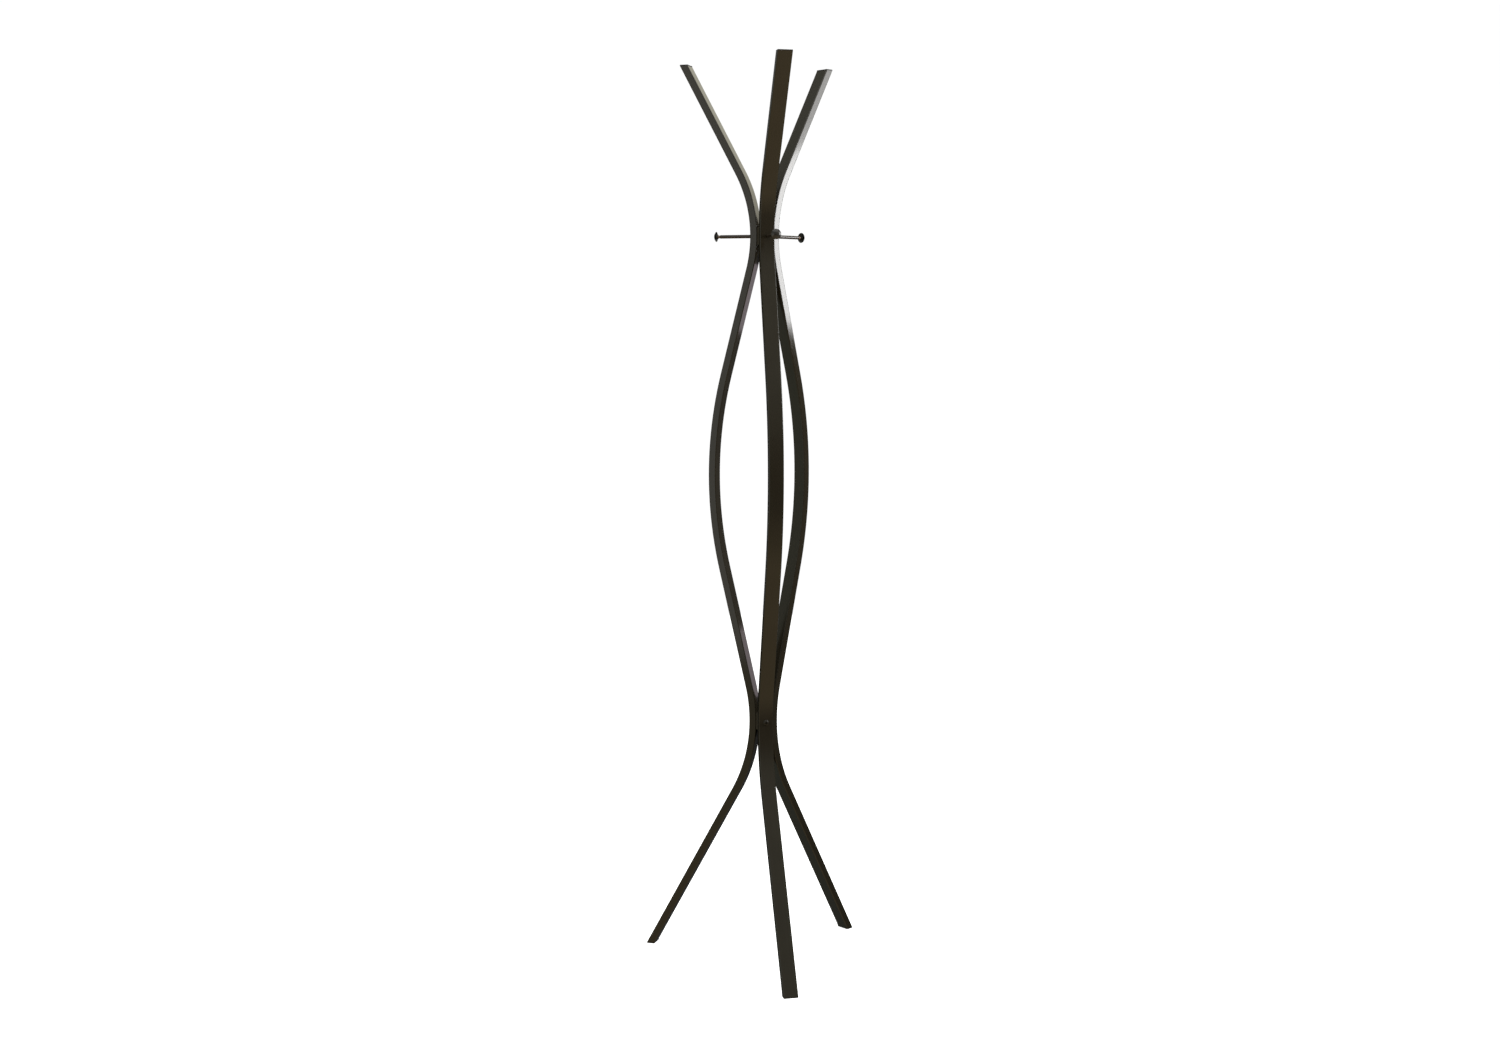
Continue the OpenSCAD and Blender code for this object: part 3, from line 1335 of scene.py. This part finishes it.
@dataclass(frozen=True)
class Panel:
    """A soft light panel that faces the rack. Bearings run from -Y towards +X."""

    name: str
    bearing: float
    distance: float
    height: float
    width: float
    tall: float
    brightness: float
    colour: tuple[float, float, float] = (1.0, 1.0, 1.0)
    aim_height: float | None = None

    def build(self, plan: Plan) -> None:
        """Hangs the panel.

        Args:
            plan: The rack's plan.
        """
        data = bpy.data.lights.new(self.name, "AREA")
        data.shape = "RECTANGLE"
        data.color = self.colour
        data.size = self.width
        data.size_y = self.tall
        data.energy = self.brightness * math.pi * self.width * self.tall
        light = add_object(self.name, data)
        away = Vector((math.sin(self.bearing), -math.cos(self.bearing), 0))
        light.location = plan.axis + self.distance * away + Vector((0, 0, self.height))
        aim = self.height if self.aim_height is None else self.aim_height
        target = plan.axis + Vector((0, 0, aim))
        light.rotation_mode = "QUATERNION"
        light.rotation_quaternion = (target - light.location).to_track_quat("-Z", "Y")


PANELS = (
    Panel(
        "side_softbox",
        bearing=math.radians(72.8),
        distance=2.0,
        height=1.57,
        width=0.9,
        tall=0.54,
        brightness=22.0,
    ),
    Panel(
        "side_softbox_top",
        bearing=math.radians(72.8),
        distance=2.0,
        height=2.14,
        width=0.9,
        tall=0.6,
        brightness=9.0,
    ),
    Panel(
        "front_left_fill",
        bearing=math.radians(-47.2),
        distance=2.8,
        height=1.2,
        width=1.8,
        tall=2.2,
        brightness=0.95,
    ),
    Panel(
        "rear_panel",
        bearing=math.radians(147),
        distance=2.5,
        height=2.35,
        width=1.3,
        tall=1.3,
        brightness=0.85,
        colour=(1.0, 0.94, 0.74),
    ),
    Panel(
        "rear_strip_upper",
        bearing=math.radians(134),
        distance=1.0,
        height=1.24,
        width=0.35,
        tall=0.2,
        brightness=0.7,
        colour=(1.0, 0.86, 0.94),
    ),
    Panel(
        "rear_strip_lower",
        bearing=math.radians(132),
        distance=1.0,
        height=0.55,
        width=0.35,
        tall=0.24,
        brightness=0.7,
        colour=(1.0, 0.86, 0.94),
    ),
    Panel(
        "overhead_bank",
        bearing=0.0,
        distance=0.6,
        height=3.4,
        width=3.0,
        tall=3.0,
        brightness=1.6,
        aim_height=0.0,
    ),
)


@dataclass(frozen=True)
class Studio:
    """A white floor, soft light and a camera."""

    plan: Plan
    camera_bearing: float = math.radians(-12.783)
    camera_distance: float = 3.602
    camera_height: float = 1.3242
    camera_pitch: float = math.radians(-6.626)
    camera_yaw: float = math.radians(0.448)
    camera_roll: float = math.radians(0.099)
    lens: float = 42.64
    sensor: float = 36.0
    floor_radius: float = 4.3
    floor_steps: int = 128
    seen_white: float = 1.02
    left_wall: tuple[float, float, float] = (0.38, 0.42, 0.34)
    right_wall: tuple[float, float, float] = (0.05, 0.05, 0.05)
    ceiling: tuple[float, float, float] = (0.42, 0.44, 0.40)
    warm_floor: tuple[float, float, float] = (0.80, 0.62, 0.36)
    walls_span: tuple[float, float] = (-0.9, -0.2)
    ceiling_span: tuple[float, float] = (0.0, 0.42)
    floor_span: tuple[float, float] = (0.2, 0.5)
    front_span: tuple[float, float] = (-0.3, 0.3)
    floor_slant: float = 0.12

    def build_camera(self) -> None:
        """Sets up the camera."""
        data = bpy.data.cameras.new("camera")
        data.lens = self.lens
        data.sensor_width = self.sensor
        camera = add_object("camera", data)
        back = Vector((math.sin(self.camera_bearing), -math.cos(self.camera_bearing), 0))
        place = self.plan.axis + self.camera_distance * back + Vector((0, 0, self.camera_height))
        camera.matrix_world = (
            Matrix.Translation(place)
            @ Matrix.Rotation(self.camera_bearing + self.camera_yaw, 4, "Z")
            @ Matrix.Rotation(math.pi / 2 + self.camera_pitch, 4, "X")
            @ Matrix.Rotation(self.camera_roll, 4, "Z")
        )
        bpy.context.scene.camera = camera

    def build_floor(self) -> None:
        """Lays the floor and marks it as part of the stage."""
        bm = bmesh.new()
        bmesh.ops.create_circle(
            bm, cap_ends=True, segments=self.floor_steps, radius=self.floor_radius
        )
        bmesh.ops.translate(bm, vec=self.plan.axis, verts=bm.verts[:])
        mesh = bpy.data.meshes.new("floor")
        bm.to_mesh(mesh)
        bm.free()
        floor = add_object("floor", mesh)
        mesh.materials.append(FLOOR_PAPER.material())
        floor.visible_glossy = False
        floor.visible_diffuse = False
        floor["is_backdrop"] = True

    def build_world(self) -> None:
        """Makes the surroundings: white where they are seen, and dim where they light the rack."""
        world = bpy.data.worlds.new("studio")
        bpy.context.scene.world = world
        world.use_nodes = True
        shader = Shader(world.node_tree)
        seen = shader.node("ShaderNodeLightPath", output="Is Camera Ray")
        white = shader.node(
            "ShaderNodeBackground", {}, {"Color": (1, 1, 1, 1), "Strength": self.seen_white}
        )
        ray = shader.node("ShaderNodeTexCoord", output="Generated")
        rightness, backness, upness = (
            shader.node("ShaderNodeSeparateXYZ", {}, {"Vector": ray}, output=axis)
            for axis in "XYZ"
        )
        across = shader.contrast(rightness, *self.walls_span)
        walls = shader.blend(across, self.left_wall, self.right_wall)
        upper = shader.blend(shader.contrast(upness, *self.ceiling_span), walls, self.ceiling)
        near_floor = shader.contrast(
            0 - upness - self.floor_slant * rightness, *self.floor_span
        )
        in_front = shader.contrast(0 - backness, *self.front_span)
        room = shader.blend(near_floor * in_front, upper, self.warm_floor)
        dim = shader.node("ShaderNodeBackground", {}, {"Color": room, "Strength": 1.0})
        sky = shader.node("ShaderNodeMixShader", {}, {0: seen, 1: dim, 2: white})
        shader.node("ShaderNodeOutputWorld", {}, {"Surface": sky})

    def build(self) -> None:
        """Builds the whole studio."""
        bpy.context.scene.view_settings.view_transform = "Standard"
        self.build_camera()
        self.build_floor()
        self.build_world()
        for panel in PANELS:
            panel.build(self.plan)


def main() -> None:
    """Builds the rack and its studio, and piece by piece."""
    logging.basicConfig(level=logging.INFO, format="%(message)s")
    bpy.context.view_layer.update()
    plan = Plan.from_frame()
    leg = Leg(plan)
    caps = PegCaps(leg)
    Studio(plan).build()
    leg.build()
    EndPlugs(leg).build()
    Hubs(leg).build()
    LowerBolts(leg).build()
    Pegs(leg, caps.boss_end).build()
    caps.build()


if __name__ == "__main__":
    main()
